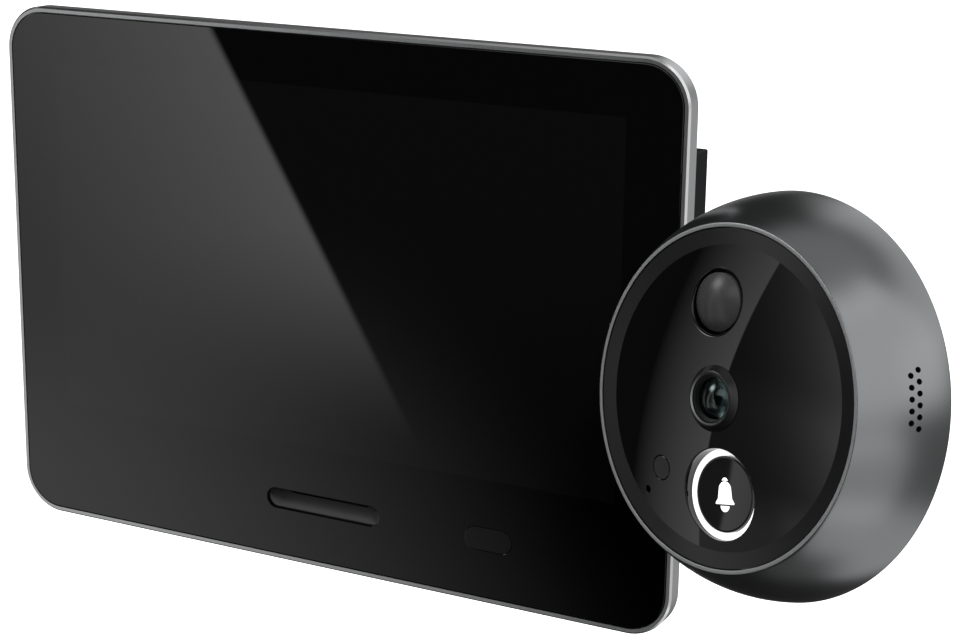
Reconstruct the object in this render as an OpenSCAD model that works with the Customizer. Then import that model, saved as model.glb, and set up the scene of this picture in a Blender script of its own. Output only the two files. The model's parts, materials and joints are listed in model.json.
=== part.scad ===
// Peephole door camera: an indoor monitor on a door bracket and a round outdoor camera.
// Both units are drawn face up, with z towards the viewer, and then stood upright.

/* [Monitor front] */
// Width of the monitor's front
panel_w = 113; // [111:0.5:125]
// Height of the monitor's front
panel_h = 81; // [80:0.5:93]
// Corner radius of the monitor's front
panel_corner = 6.7; // [4.5:0.1:8.5]
// Thickness of the monitor's front slab
panel_t = 2.9; // [2.8:0.1:4]
// Thickness of the cover glass
glass_t = 0.7; // [0.5:0.05:0.8]
// How far the glass edge lies inside the frame's edge
glass_inset = 0.9; // [0.7:0.05:1]
// Gap between the glass and the frame's rim
glass_gap = 0.12; // [0.05:0.01:0.2]
// How far the frame's rim lies behind the glass
rim_sink = 0.05; // [0:0.05:0.3]
// Thickness of the adhesive under the glass
gasket_t = 0.25; // [0.1:0.05:0.4]
// How far the adhesive's edge lies inside the frame's edge
gasket_inset = 1.3; // [1.1:0.05:1.5]
// Width of the adhesive strip
gasket_w = 1.2; // [0.8:0.1:1.6]
// Side wall of the frame
frame_wall = 2.7; // [2.3:0.1:2.9]
// Floor of the frame behind the display
frame_floor = 0.6; // [0.5:0.1:0.8]

/* [Display] */
// Distance of the display's sides from the front's edges
lcd_side = 5.5; // [5:0.5:7.5]
// Distance of the display's top from the front's upper edge
lcd_head = 4.9; // [4.7:0.1:8.5]
// Distance of the display's bottom from the front's lower edge
lcd_chin = 14.1; // [13.9:0.1:16.5]
// Gap between the display and the frame's floor
lcd_gap = 0.4; // [0.3:0.05:0.6]
// Width of the display's ribbon
flex_w = 10; // [6:0.5:12]
// Thickness of the display's ribbon
flex_t = 0.2; // [0.1:0.05:0.25]

/* [Front openings] */
// Length of the speaker slot
slot_w = 19.4; // [12:0.1:22]
// Height of the speaker slot
slot_h = 3; // [2.4:0.1:3.2]
// Height of the slot's centre line above the front's lower edge
slot_rise = 9.8; // [9.5:0.1:10.1]
// Length of the indicator window
pill_w = 7.6; // [5:0.1:9]
// Height of the indicator window
pill_h = 3.6; // [3:0.1:4]
// Distance of the indicator window from the panel's centre line
pill_x = 28; // [26:0.5:30]

/* [Rear box] */
// Distance of the rear box's sides from the front's edges
box_side = 6; // [3.5:0.5:7]
// Distance of the rear box's top from the front's upper edge
box_head = 15.5; // [10.5:0.5:16.5]
// Distance of the rear box's bottom from the front's lower edge
box_chin = 6.5; // [4.5:0.5:7]
// Corner radius of the rear box
box_corner = 0.3; // [0.2:0.1:3]
// Wall of the rear box
box_wall = 1.6; // [1.2:0.1:1.8]
// Depth from the glass to the door
total_depth = 22.2; // [22:0.1:30]

/* [Electronics] */
// Gap between the battery pack and the ribbon socket
battery_gap = 0.4; // [0.3:0.1:6]
// Room behind the battery pack
battery_room = 1.4; // [1:0.1:4]
// Gap between the battery pack and the main board
board_gap = 4; // [3:0.5:6]
// Thickness of the main board
board_t = 1.2; // [0.8:0.1:1.4]
// Height of the main board above the frame
board_standoff = 2.2; // [2:0.1:2.6]
// Width of the monitor's speaker
speaker_w = 24; // [18:0.5:26]
// Height of the monitor's speaker
speaker_h = 8; // [6:0.1:8.6]
// Thickness of the monitor's speaker
speaker_t = 4; // [3:0.1:6]
// Gap between the charge socket and the case post beside it
charge_gap = 3.55; // [3:0.05:4]
// Distance of the power button from the charge socket
power_pitch = 13.5; // [13:0.1:14]
// Distance of the microphone from the charge socket
microphone_pitch = 7; // [6.6:0.1:7.4]
// Diameter of the power button
power_d = 5; // [4:0.1:5.2]
// How far the power button stands out
power_proud = 0.6; // [0.5:0.1:1]
// Travel of the power button
power_travel = 0.5; // [0.3:0.05:0.6]

/* [Door bracket] */
// Width of the bracket
bracket_w = 64; // [58:1:72]
// Height of the bracket
bracket_h = 40; // [36:1:41]
// Thickness of the bracket's sheet
bracket_t = 1.5; // [1:0.1:1.6]
// Width of a hook
hook_w = 8; // [5:0.5:10]
// Distance of a hook from the centre line
hook_x = 23; // [18:0.5:25]
// Height of the hooks' lips above their seats
hook_rise = 3; // [2:0.1:3.5]
// Seat height of the upper hooks
hook_upper = 11; // [10:0.5:12]
// Seat height of the lower hooks
hook_lower = -8; // [-9:0.5:-7]
// Lift of the monitor that frees it
lift = 5; // [4.2:0.1:5.2]
// Distance between the two door bolts
bolt_pitch = 12; // [11:0.5:16]
// Diameter of the door bolt holes
bolt_hole = 3.4; // [3.2:0.1:4.4]
// Width of the cable window
window_w = 14; // [13.2:0.2:16]
// Height of the cable window
window_h = 7; // [6.6:0.2:8]
// Height of the cable window's lower edge
window_rise = 4; // [3.6:0.1:5]

/* [Outdoor camera place] */
// Distance of the camera's rim centre to the right of the front's edge
camera_side = 15.7; // [15.5:0.1:33.5]
// Distance of the camera's rim centre in front of the glass
camera_front = 25.8; // [25.6:0.1:60]
// Height of the camera's rim centre above the panel's centre
camera_z = 4.2; // [-5:0.1:10]
// How far the camera faces to the left
camera_yaw = 23.16; // [20:0.01:30]
// How far the camera faces up
camera_pitch = 8.91; // [0:0.01:15]
// How far the camera leans to the left
camera_roll = 12.9; // [0:0.1:20]

/* [Outdoor camera body] */
// Distance of the widest of the body's bulge from its inside
housing_wall = 3.8; // [3.4:0.1:5]
// Diameter of the front rim
rim_d = 42; // [41.8:0.1:43]
// Depth of the widest of the body's bulge behind the rim
widest_depth = 13.5; // [11:0.1:15]
// Depth of the body
housing_depth = 11.5; // [11.5:0.1:13]
// Width of the front rim
rim_w = 0.5; // [0.4:0.05:0.8]
// Radius of the inside of the body
cavity_r = 21.6; // [21:0.1:21.8]
// Thickness of the ledge behind the face
ledge_t = 1.4; // [1:0.1:1.6]
// Width of the ledge behind the face
ledge_w = 1.5; // [1:0.1:1.6]
// Diameter of a speaker hole
sound_hole_d = 0.7; // [0.5:0.05:0.9]
// Distance between speaker holes in a column
sound_pitch = 1.34; // [1.2:0.02:1.6]
// Speaker holes in the longer column
sound_rows = 6; // [3:1:8]

/* [Outdoor camera face] */
// Thickness of the face from the rim to its back
face_t = 2.6; // [2.2:0.1:3]
// Width of the dished ring round the domed disc
dish_w = 1.95; // [1:0.05:2.1]
// How far the disc's edge lies behind the rim
disc_drop = 0.45; // [0.3:0.05:0.6]
// Height of the dome over the disc's edge
dome_h = 1.62; // [0.8:0.02:2]
// Distance of the motion sensor's hole from the disc's edge
pir_edge = 2.95; // [2.4:0.05:3.4]
// Diameter of the motion sensor's hole
pir_d = 7.9; // [7:0.1:8.6]
// Distance of the doorbell button's well from the disc's edge
button_edge = 1.35; // [1:0.05:1.6]
// Diameter of the doorbell button's well
well_d = 11.1; // [10.4:0.1:11.4]
// Width of the light ring
ring_w = 0.7; // [0.5:0.05:0.8]
// Depth of the light ring behind the face
ring_drop = 1.2; // [0.6:0.05:1.4]
// Travel of the doorbell button
button_travel = 0.7; // [0.4:0.05:0.7]
// Diameter of the lens bezel's foot
bezel_d = 8; // [7.8:0.1:8.6]
// Diameter of the lens bezel's top
bezel_top_d = 6.6; // [6.4:0.1:7]
// Height of the lens bezel
bezel_h = 0.7; // [0.3:0.05:0.8]
// Diameter of the lens barrel
lens_d = 5.8; // [5.2:0.1:5.9]
// Diameter of the light window
light_d = 3.1; // [2.6:0.1:3.4]

/* [Outdoor camera rear] */
// Depth of the camera's board behind the rim
camera_board_depth = 7.8; // [7.8:0.1:8.4]
// Thickness of the camera's board
camera_board_t = 1.2; // [0.8:0.1:1.4]
// Distance of the rear screws from the body's inside
screw_inset = 4; // [3.8:0.1:4.4]
// Thickness of the rear plate
rear_plate_t = 1.5; // [1.2:0.1:1.8]
// Thickness of the rear gasket
rear_gasket_t = 0.5; // [0.3:0.1:0.8]
// Thickness of the adhesive pad
pad_t = 1; // [0.8:0.1:1.5]
// Inner diameter of the adhesive pad
pad_inner_d = 26; // [24:0.5:30]
// Thread hole of the inserts
insert_hole_d = 2.5; // [2.4:0.1:2.6]
// Length of the inserts
insert_length = 6; // [4:0.1:7]

/* [Hidden] */
$fn = 96;

// Extra length of a cut past the face that it opens
cut = 1;
// Clearance of a piece in the hole that locates it
fit = 0.15;
// Clearance of a piece that is glued or screwed in its hole
close_fit = 0.05;
// Clearance between pieces that move past each other
run_gap = 0.3;

// Colours of the finishes
black_gloss = [0.03, 0.03, 0.035];
dark_plastic = [0.14, 0.14, 0.15];
gunmetal = [0.36, 0.37, 0.38];
satin_metal = [0.62, 0.63, 0.65];
steel = [0.72, 0.73, 0.75];
board_green = [0.07, 0.28, 0.16];
soft_black = [0.08, 0.08, 0.08];
lit_white = [0.95, 0.96, 0.98];
brass = [0.78, 0.62, 0.30];
lens_tint = [0.10, 0.16, 0.16];
smoked = [0.10, 0.10, 0.11];
ribbon_amber = [0.75, 0.50, 0.15];
wrap_grey = [0.20, 0.21, 0.24];
ivory = [0.85, 0.83, 0.76];

// Levels in the monitor, with the glass at zero and the door behind
z_glass_back = -glass_t;
z_frame_front = z_glass_back - gasket_t;
z_rim = -rim_sink;
z_frame_back = -panel_t;
z_floor = z_frame_back + frame_floor;
z_lcd_back = z_floor + lcd_gap;
z_door = -total_depth;
door_gap = 0.2;
z_shell_back = z_door + door_gap;
z_plate_front = z_door + bracket_t;
z_pocket = z_plate_front + run_gap;
z_wall_in = z_pocket + box_wall;
z_lip_back = z_wall_in + run_gap;
z_lip_front = z_lip_back + bracket_t;
z_board_front = z_frame_back - board_standoff;
z_board_back = z_board_front - board_t;

// Places in the monitor
lcd_w = panel_w - 2 * lcd_side;
lcd_h = panel_h - lcd_head - lcd_chin;
lcd_rise = (lcd_chin - lcd_head) / 2;
lcd_bottom = lcd_rise - lcd_h / 2;
slot_drop = panel_h / 2 - slot_rise;
glass_seat_inset = glass_inset - glass_gap;
box_w = panel_w - 2 * box_side;
box_top = panel_h / 2 - box_head;
box_bottom = panel_h / 2 - box_chin;
inner_w = panel_w - 2 * frame_wall;
inner_h = panel_h - 2 * frame_wall;
box_h = box_top + box_bottom;
box_mid = (box_top - box_bottom) / 2;
shell_floor = -box_bottom + box_wall;
post_r = 2.6;
post_inset = 4.9;
post_x = box_w / 2 - post_inset;
post_ys = [box_top - post_inset, -box_bottom + post_inset];
post_gap = 0.5;
boss_length = 5;
z_post_joint = z_frame_back - boss_length;
z_screw_end = z_frame_back - frame_floor;
screw_d = 2;
screw_head_d = 4;
screw_head_t = 1.4;
screw_pass = 0.2;
case_seat_t = 2.6;
z_case_head = z_post_joint - case_seat_t;
board_right = post_x - post_r - post_gap;
window_side_gap = 0.5;
window_top_gap = 0.4;
socket_w = window_w - 2 * window_side_gap;
socket_h = window_h - 2 * window_top_gap;
socket_lip = 1.6;
battery_left = -board_right;
battery_right = -socket_w / 2 - socket_lip - battery_gap;
board_left = battery_right + board_gap;
board_margin = 1.4;
board_top = box_top - box_wall - board_margin;
speaker_bottom = shell_floor + run_gap;
speaker_clear = 2.1;
speaker_top = speaker_bottom + speaker_h;
board_bottom = speaker_top + speaker_clear;
battery_bottom = speaker_top + run_gap;
z_battery_back = z_lip_front + battery_room;
charge_w = 8.9;
charge_x = post_x - post_r - charge_gap - charge_w / 2;
power_x = charge_x - power_pitch;
microphone_x = charge_x - microphone_pitch;
tab_margin = 4;
tab_left = power_x - tab_margin;
tab_bottom = shell_floor + post_gap;
boss_inset = 3;
board_boss_r = 2;
board_bosses = [
    [board_left + boss_inset, board_bottom + boss_inset],
    [board_left + boss_inset, board_top - boss_inset],
    [board_right - boss_inset, board_top - boss_inset - 2 * post_r],
    [board_right - boss_inset, board_bottom + boss_inset]
];
trough_wall = 1.2;
trough_back = 0.4;
z_trough_back = z_glass_back - slot_h / 2 - trough_back;
slit_inset = 2.9;
slit_w = slot_w - 2 * slit_inset;
slit_h = 0.7;
pill_flange = 0.7;
pill_flange_t = 0.5;
pipe_d = 2.6;
led_t = 0.8;
z_led = z_board_front + led_t;
flex_inset = 7.5;
flex_left = tab_left + flex_inset;
flex_edge = 1.6;
flex_y = lcd_bottom + flex_edge;
flex_fold = 4;
power_flange = 0.9;
power_z = z_board_back - power_d / 2 - power_flange - run_gap;
power_flange_t = 0.8;
power_stem_d = 2.4;
power_play = 0.2;
switch_gap = power_travel + power_play;
stem_length = 0.9;
switch_front = shell_floor + power_flange_t + stem_length + switch_gap;
charge_t = 3.2;
charge_length = 7.3;
charge_setback = 0.4;
socket_y = window_rise + window_h / 2;
socket_setback = 1;
box_inner_corner = 0.2;
socket_lip_t = 1.2;
socket_body_t = 3;
slot_cut_h = bracket_t + lift + run_gap;

// Levels and places in the outdoor camera, with the rim at zero
barrel_r = cavity_r + housing_wall;
screw_circle_r = cavity_r - screw_inset;
bulge = barrel_r - rim_d / 2;
bulge_r = (bulge * bulge + widest_depth * widest_depth) / (2 * bulge);
face_bore_r = rim_d / 2 - rim_w;
plate_r = face_bore_r - fit;
disc_r = plate_r - dish_w;
pir_rise = disc_r - pir_edge - pir_d / 2;
button_drop = disc_r - button_edge - well_d / 2;
dome_r = (disc_r * disc_r + dome_h * dome_h) / (2 * dome_h);
dome_top = dome_h - disc_drop;
ring_outer_edge = -0.12;
z_face_back = -face_t;
z_ledge_back = z_face_back - ledge_t;
thread_stop = 0.4;
z_thread_end = z_ledge_back - thread_stop;
z_camera_board = -camera_board_depth;
z_camera_board_back = z_camera_board - camera_board_t;
z_rear = -housing_depth;
z_plate_in = z_rear + rear_plate_t;
z_gasket_in = z_plate_in + rear_gasket_t;
rear_step = 1.2;
rear_bore_r = cavity_r + rear_step;
rear_plate_r = rear_bore_r - fit;
camera_board_gap = 1.6;
camera_board_r = cavity_r - camera_board_gap;
camera_post_r = 2;
post_web = cavity_r - screw_circle_r + fit;
screw_angles = [40, 180, 320];
flange_t = 0.8;
z_flange_back = z_face_back - flange_t;
function dome_z(r) = dome_top - dome_r + sqrt(dome_r * dome_r - r * r);
light_edge = 5.44;
light_angle = 221.6;
light_at = (disc_r - light_edge) * [cos(light_angle), sin(light_angle)];
mic_edge = 1.41;
mic_angle = 222.1;
mic_at = (disc_r - mic_edge) * [cos(mic_angle), sin(mic_angle)];
mic_hole_d = 0.9;
mic_boot_r = 1.1;
mic_t = 1.1;
pir_gap = 0.4;
pir_lens_r = pir_d / 2 - pir_gap;
pir_dome_h = 1.1;
pir_stand = 0.8;
pir_top = dome_z(pir_rise) + pir_stand;
pir_can_r = 2.8;
bezel_foot = 0.4;
bezel_neck_r = bezel_d / 2 - bezel_foot;
lens_r = lens_d / 2;
lens_sink = 0.25;
lens_top = dome_top + bezel_h - lens_sink;
barrel_clear = 2.2;
z_barrel_back = z_camera_board + barrel_clear;
mouth_inset = 0.35;
mouth_inner = 0.6;
mouth_depth = 0.3;
mouth_steps = [[mouth_inset, mouth_depth], [mouth_inner, 2 * mouth_depth]];
glass_seat = 0.8;
front_glass_r = lens_r - glass_seat;
front_glass_t = 2.2;
front_glass_bulge = 0.8;
front_glass_top = lens_top - mouth_depth;
rear_glass_t = 1.4;
glass_spacing = 0.9;
holder_wall = 1.2;
holder_r = lens_r + holder_wall;
holder_w = 9.4;
holder_base_t = 1.6;
sensor_w = 5;
sensor_h = 4.6;
sensor_gap = 0.2;
sensor_t = 0.8;
ring_r = well_d / 2 - close_fit;
ring_inner_r = ring_r - ring_w;
z_ring_top = dome_z(button_drop) - ring_drop;
cap_gap = 0.2;
cap_r = ring_inner_r - cap_gap;
cap_proud = 0.1;
z_cap_top = z_ring_top + cap_proud;
ring_flange = 0.9;
ring_flange_r = well_d / 2 + ring_flange;
cap_flange_r = ring_r;
cap_flange_t = 0.8;
z_cap_flange_back = z_flange_back - cap_flange_t;
cap_post_r = 1.8;
switch_t = 1.3;
z_switch_top = z_camera_board + switch_t;
z_cap_post_end = z_switch_top + button_travel + run_gap;
plunger_r = 1.2;
plunger_play = 0.15;
symbol_t = 0.3;
crown_r = 1;
crown_y = 0.55;
waist_w = 1.14;
waist_y = -0.54;
lip_w = 1.5;
lip_y = -1.2;
lip_t = 0.2;
shoulder_w = 1;
shoulder_y = 0.55;
knob_r = 0.5;
knob_y = 1.5;
clapper_r = 0.72;
sign_gap = 0.2;
speaker_box_depth = 7;
speaker_box_h = 13;
speaker_gap = 1.8;
speaker_box_face = cavity_r - speaker_gap;
mesh_t = 0.4;
sound_rise = 1;
sound_step = 1;
sound_columns = [z_camera_board + sound_rise, z_camera_board + sound_rise + sound_step];
insert_r = 2.4;
insert_end_t = 1;
insert_sink = 1;
z_post_end = z_rear - insert_length + insert_sink;
post_wall = 0.6;
insert_post_r = insert_r + post_wall;
grommet_w = 9;
grommet_h = 3.4;
grommet_y = 7.2;
grommet_lip = 1.2;
grommet_lip_t = 0.7;
grommet_slit_h = 1.2;
grommet_slit_w = 7;

// Stands the monitor upright with the door at y = 0
module place_monitor() {
    translate([0, -total_depth, 0])
        rotate([90, 0, 0])
            children();
}

// Stands the outdoor camera where it hangs, turned to its own direction
module place_camera() {
    translate([panel_w / 2 + camera_side, -total_depth - camera_front, camera_z])
        rotate([0, 0, -camera_yaw])
            rotate([-camera_pitch, 0, 0])
                rotate([0, -camera_roll, 0])
                    rotate([90, 0, 0])
                        children();
}

// Flat outline drawn from one level back to another
module between(z_front, z_back) {
    translate([0, 0, z_back])
        linear_extrude(z_front - z_back)
            children();
}

// Round disc or post between two levels
module round_between(z_front, z_back, r) {
    translate([0, 0, z_back])
        cylinder(h = z_front - z_back, r = r);
}

module rounded_rect(w, h, r) {
    square([w - 2 * r, h], center = true);
    square([w, h - 2 * r], center = true);
    for (sx = [-1, 1], sy = [-1, 1])
        translate([sx * (w / 2 - r), sy * (h / 2 - r)])
            circle(r = r);
}

module stadium(w, h) {
    square([w - h, h], center = true);
    for (sx = [-1, 1])
        translate([sx * (w - h) / 2, 0])
            circle(d = h);
}

// Pan-head screw whose head seat is at z_seat and whose tip points to the front
module screw(z_seat, z_tip, d, head_d, head_t) {
    round_between(z_tip, z_seat, d / 2);
    round_between(z_seat, z_seat - head_t, head_d / 2);
}

// Monitor

module slot_place() {
    translate([0, -slot_drop, 0])
        children();
}

module pill_place() {
    translate([pill_x, -slot_drop, 0])
        children();
}

module front_glass() {
    color(black_gloss)
        place_monitor()
            between(0, z_glass_back)
                difference() {
                    rounded_rect(panel_w - 2 * glass_inset, panel_h - 2 * glass_inset,
                                 panel_corner - glass_inset);
                    slot_place()
                        stadium(slot_w, slot_h);
                    pill_place()
                        stadium(pill_w, pill_h);
                }
}

module gasket_outline(grow) {
    rounded_rect(panel_w - 2 * gasket_inset - 2 * grow, panel_h - 2 * gasket_inset - 2 * grow,
                 panel_corner - gasket_inset - grow);
}

module display_gasket() {
    color(soft_black)
        place_monitor()
            between(z_glass_back, z_frame_front)
                difference() {
                    gasket_outline(0);
                    gasket_outline(gasket_w);
                }
}

// Half-round groove with round ends, as deep as half its height
module groove(w, h) {
    rotate([0, 90, 0])
        cylinder(h = w - h, d = h, center = true);
    for (sx = [-1, 1])
        translate([sx * (w - h) / 2, 0, 0])
            sphere(d = h);
}

module trough_outline(grow) {
    stadium(slot_w + 2 * trough_wall + 2 * grow, slot_h + 2 * trough_wall + 2 * grow);
}

module speaker_trough() {
    color(black_gloss)
        place_monitor()
            slot_place()
                difference() {
                    between(z_glass_back, z_trough_back)
                        trough_outline(0);
                    translate([0, 0, z_glass_back])
                        groove(slot_w, slot_h);
                    translate([0, slot_h / 4, 0])
                        between(z_glass_back, z_trough_back - cut)
                            stadium(slit_w, slit_h);
                }
}

module indicator_window() {
    color(smoked)
        place_monitor()
            pill_place() {
                between(0, z_glass_back)
                    stadium(pill_w - fit, pill_h - fit);
                between(z_glass_back, z_glass_back - pill_flange_t)
                    stadium(pill_w + 2 * pill_flange, pill_h + 2 * pill_flange);
                round_between(z_glass_back - pill_flange_t, z_led + run_gap, pipe_d / 2);
            }
}

module frame_floor_cuts() {
    slot_place()
        between(z_floor + cut, z_frame_back - cut)
            trough_outline(fit);
    pill_place()
        round_between(z_floor + cut, z_frame_back - cut, pipe_d / 2 + fit);
    translate([flex_left - run_gap, flex_y - flex_t - run_gap, z_frame_back - cut])
        cube([flex_w + 2 * run_gap, flex_t + 2 * run_gap, frame_floor + 2 * cut]);
}

module front_frame() {
    color(satin_metal)
        place_monitor()
            difference() {
                union() {
                    difference() {
                        between(z_rim, z_frame_back)
                            rounded_rect(panel_w, panel_h, panel_corner);
                        between(z_rim + cut, z_frame_front)
                            rounded_rect(panel_w - 2 * glass_seat_inset, panel_h - 2 * glass_seat_inset,
                                         panel_corner - glass_seat_inset);
                        between(z_frame_front + cut, z_floor)
                            rounded_rect(inner_w, inner_h, panel_corner - frame_wall);
                        frame_floor_cuts();
                    }
                    for (x = [-post_x, post_x], y = post_ys)
                        translate([x, y, 0])
                            round_between(z_floor, z_post_joint, post_r);
                    for (p = board_bosses)
                        translate([p[0], p[1], 0])
                            round_between(z_floor, z_board_front, board_boss_r);
                }
                for (x = [-post_x, post_x], y = post_ys)
                    translate([x, y, 0])
                        round_between(z_screw_end, z_post_joint - cut, screw_d / 2 + close_fit);
                for (p = board_bosses)
                    translate([p[0], p[1], 0])
                        round_between(z_frame_back, z_board_front - cut, screw_d / 2 + close_fit);
            }
}

module lcd_module() {
    color(black_gloss)
        place_monitor()
            translate([0, lcd_rise, 0])
                between(z_glass_back, z_lcd_back)
                    square([lcd_w, lcd_h], center = true);
}

module display_ribbon() {
    color(ribbon_amber)
        place_monitor()
            translate([flex_left, flex_y, 0]) {
                translate([0, -flex_t, z_lcd_back - flex_t])
                    cube([flex_w, flex_t + flex_fold, flex_t]);
                translate([0, -flex_t, z_board_front])
                    cube([flex_w, flex_t, z_lcd_back - z_board_front]);
                translate([0, -flex_t, z_board_front])
                    cube([flex_w, flex_t + flex_fold, flex_t]);
            }
}

// Places in the bottom wall, with z pointing up into the box from its outer face
module bottom_wall(x, z) {
    translate([x, -box_bottom, z])
        rotate([-90, 0, 0])
            children();
}

module power_place() {
    bottom_wall(power_x, power_z)
        children();
}

module charge_place() {
    bottom_wall(charge_x, z_board_back - charge_t / 2)
        children();
}

module microphone_place() {
    bottom_wall(microphone_x, z_board_back - mic_t)
        children();
}

module box_outline(inset) {
    translate([0, box_mid])
        rounded_rect(box_w - 2 * inset, box_h - 2 * inset, max(box_corner - inset, box_inner_corner));
}

module hook_place() {
    for (sx = [-1, 1], y = [hook_upper, hook_lower])
        translate([sx * hook_x, y, 0])
            children();
}

// Hollow in the monitor's back that the bracket lies in, with room to lift
module bracket_pocket() {
    pocket_h = bracket_h + lift + 2 * run_gap;
    translate([0, -lift / 2])
        square([bracket_w + 2 * run_gap, pocket_h], center = true);
}

module rear_shell() {
    color(dark_plastic)
        place_monitor()
            difference() {
                union() {
                    difference() {
                        between(z_frame_back, z_shell_back)
                            box_outline(0);
                        between(z_frame_back + cut, z_wall_in)
                            box_outline(box_wall);
                    }
                    for (x = [-post_x, post_x], y = post_ys)
                        translate([x, y, 0])
                            round_between(z_post_joint, z_wall_in - box_wall, post_r);
                }
                between(z_pocket, z_shell_back - cut)
                    bracket_pocket();
                hook_place()
                    between(z_wall_in + cut, z_pocket - cut)
                        translate([-hook_w / 2 - run_gap, -slot_cut_h])
                            square([hook_w + 2 * run_gap, slot_cut_h]);
                translate([0, socket_y, 0])
                    between(z_wall_in + cut, z_pocket - cut)
                        square([socket_w + 2 * fit, socket_h + 2 * fit], center = true);
                for (x = [-post_x, post_x], y = post_ys)
                    translate([x, y, 0]) {
                        round_between(z_post_joint + cut, z_shell_back - cut, screw_d / 2 + screw_pass);
                        round_between(z_case_head, z_shell_back - cut, screw_head_d / 2 + screw_pass);
                    }
                power_place()
                    translate([0, 0, -cut])
                        cylinder(h = box_wall + 2 * cut, d = power_d + 2 * run_gap);
                charge_place()
                    translate([0, 0, -cut])
                        linear_extrude(box_wall + 2 * cut)
                            stadium(charge_w + 2 * fit, charge_t + 2 * fit);
                microphone_place()
                    translate([0, 0, -cut])
                        cylinder(h = box_wall + 2 * cut, d = mic_hole_d);
            }
}

module main_board() {
    color(board_green)
        place_monitor()
            difference() {
                union() {
                    translate([board_left, board_bottom, z_board_back])
                        cube([board_right - board_left, board_top - board_bottom, board_t]);
                    translate([tab_left, tab_bottom, z_board_back])
                        cube([charge_x + charge_w / 2 - tab_left, board_bottom - tab_bottom + cut, board_t]);
                }
                for (p = board_bosses)
                    translate([p[0], p[1], 0])
                        round_between(z_board_front + cut, z_board_back - cut, screw_d / 2 + screw_pass);
                translate([post_x, post_ys[0], 0])
                    round_between(z_board_front + cut, z_board_back - cut, post_r + post_gap);
            }
}

module processor_shield() {
    can_w = 20;
    can_t = 2.2;
    can_corner = 1;
    can_right = 16;
    can_head = 20;
    color(steel)
        place_monitor()
            translate([board_right - can_right, board_top - can_head, 0])
                between(z_board_back, z_board_back - can_t)
                    rounded_rect(can_w, can_w, can_corner);
}

module board_screws() {
    color(steel)
        place_monitor()
            for (p = board_bosses)
                translate([p[0], p[1], 0])
                    screw(z_board_back, z_frame_back - run_gap, screw_d, screw_head_d, screw_head_t);
}

module battery_pack() {
    corner = 2;
    color(wrap_grey)
        place_monitor()
            translate([(battery_left + battery_right) / 2, (battery_bottom + board_top) / 2, 0])
                between(z_frame_back, z_battery_back)
                    rounded_rect(battery_right - battery_left, board_top - battery_bottom, corner);
}

module indoor_speaker() {
    rim = 1;
    corner = 1.5;
    color(soft_black)
        place_monitor()
            translate([0, speaker_bottom + speaker_h / 2, 0])
                difference() {
                    between(z_frame_back, z_frame_back - speaker_t)
                        rounded_rect(speaker_w, speaker_h, corner);
                    between(z_frame_back + cut, z_frame_back - run_gap)
                        rounded_rect(speaker_w - 2 * rim, speaker_h - 2 * rim, corner - rim);
                }
}

module indoor_microphone() {
    can_w = 3;
    can_l = 3.6;
    color(steel)
        place_monitor()
            translate([microphone_x - can_w / 2, tab_bottom, z_board_back - mic_t])
                cube([can_w, can_l, mic_t]);
}

module indicator_led() {
    led_w = 2;
    led_l = 1.2;
    color(lit_white)
        place_monitor()
            pill_place()
                between(z_led, z_board_front)
                    square([led_w, led_l], center = true);
}

module power_button() {
    color(dark_plastic)
        place_monitor()
            power_place() {
                translate([0, 0, -power_proud])
                    cylinder(h = power_proud + box_wall, d = power_d);
                translate([0, 0, box_wall])
                    cylinder(h = power_flange_t, d = power_d + 2 * power_flange);
                translate([0, 0, box_wall + power_flange_t])
                    cylinder(h = stem_length, d = power_stem_d);
            }
}

module power_switch() {
    switch_w = 6;
    switch_l = 3.6;
    color(soft_black)
        place_monitor()
            translate([power_x - switch_w / 2, switch_front, 2 * power_z - z_board_back])
                cube([switch_w, switch_l, 2 * (z_board_back - power_z)]);
}

module charge_socket() {
    shell = 0.35;
    back_t = 1;
    color(steel)
        place_monitor()
            charge_place()
                translate([0, 0, charge_setback])
                    difference() {
                        linear_extrude(charge_length)
                            stadium(charge_w, charge_t);
                        translate([0, 0, -cut])
                            linear_extrude(charge_length - back_t + cut)
                                stadium(charge_w - 2 * shell, charge_t - 2 * shell);
                    }
}

module ribbon_socket() {
    slit_side = 1.5;
    slit_w = socket_w - 2 * slit_side;
    slit_h = 2.2;
    slit_depth = 4;
    color(ivory)
        place_monitor()
            translate([0, socket_y, 0])
                difference() {
                    union() {
                        between(z_wall_in, z_pocket + socket_setback)
                            square([socket_w, socket_h], center = true);
                        between(z_wall_in + socket_lip_t, z_wall_in)
                            square([socket_w + 2 * socket_lip, socket_h + 2 * socket_lip], center = true);
                        between(z_wall_in + socket_lip_t + socket_body_t, z_wall_in + socket_lip_t)
                            square([socket_w, socket_h], center = true);
                    }
                    between(z_pocket + socket_setback + slit_depth, z_pocket - cut)
                        square([slit_w, slit_h], center = true);
                }
}

module case_screws() {
    color(steel)
        place_monitor()
            for (x = [-post_x, post_x], y = post_ys)
                translate([x, y, 0])
                    screw(z_case_head, z_screw_end - run_gap, screw_d, screw_head_d, screw_head_t);
}

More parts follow.
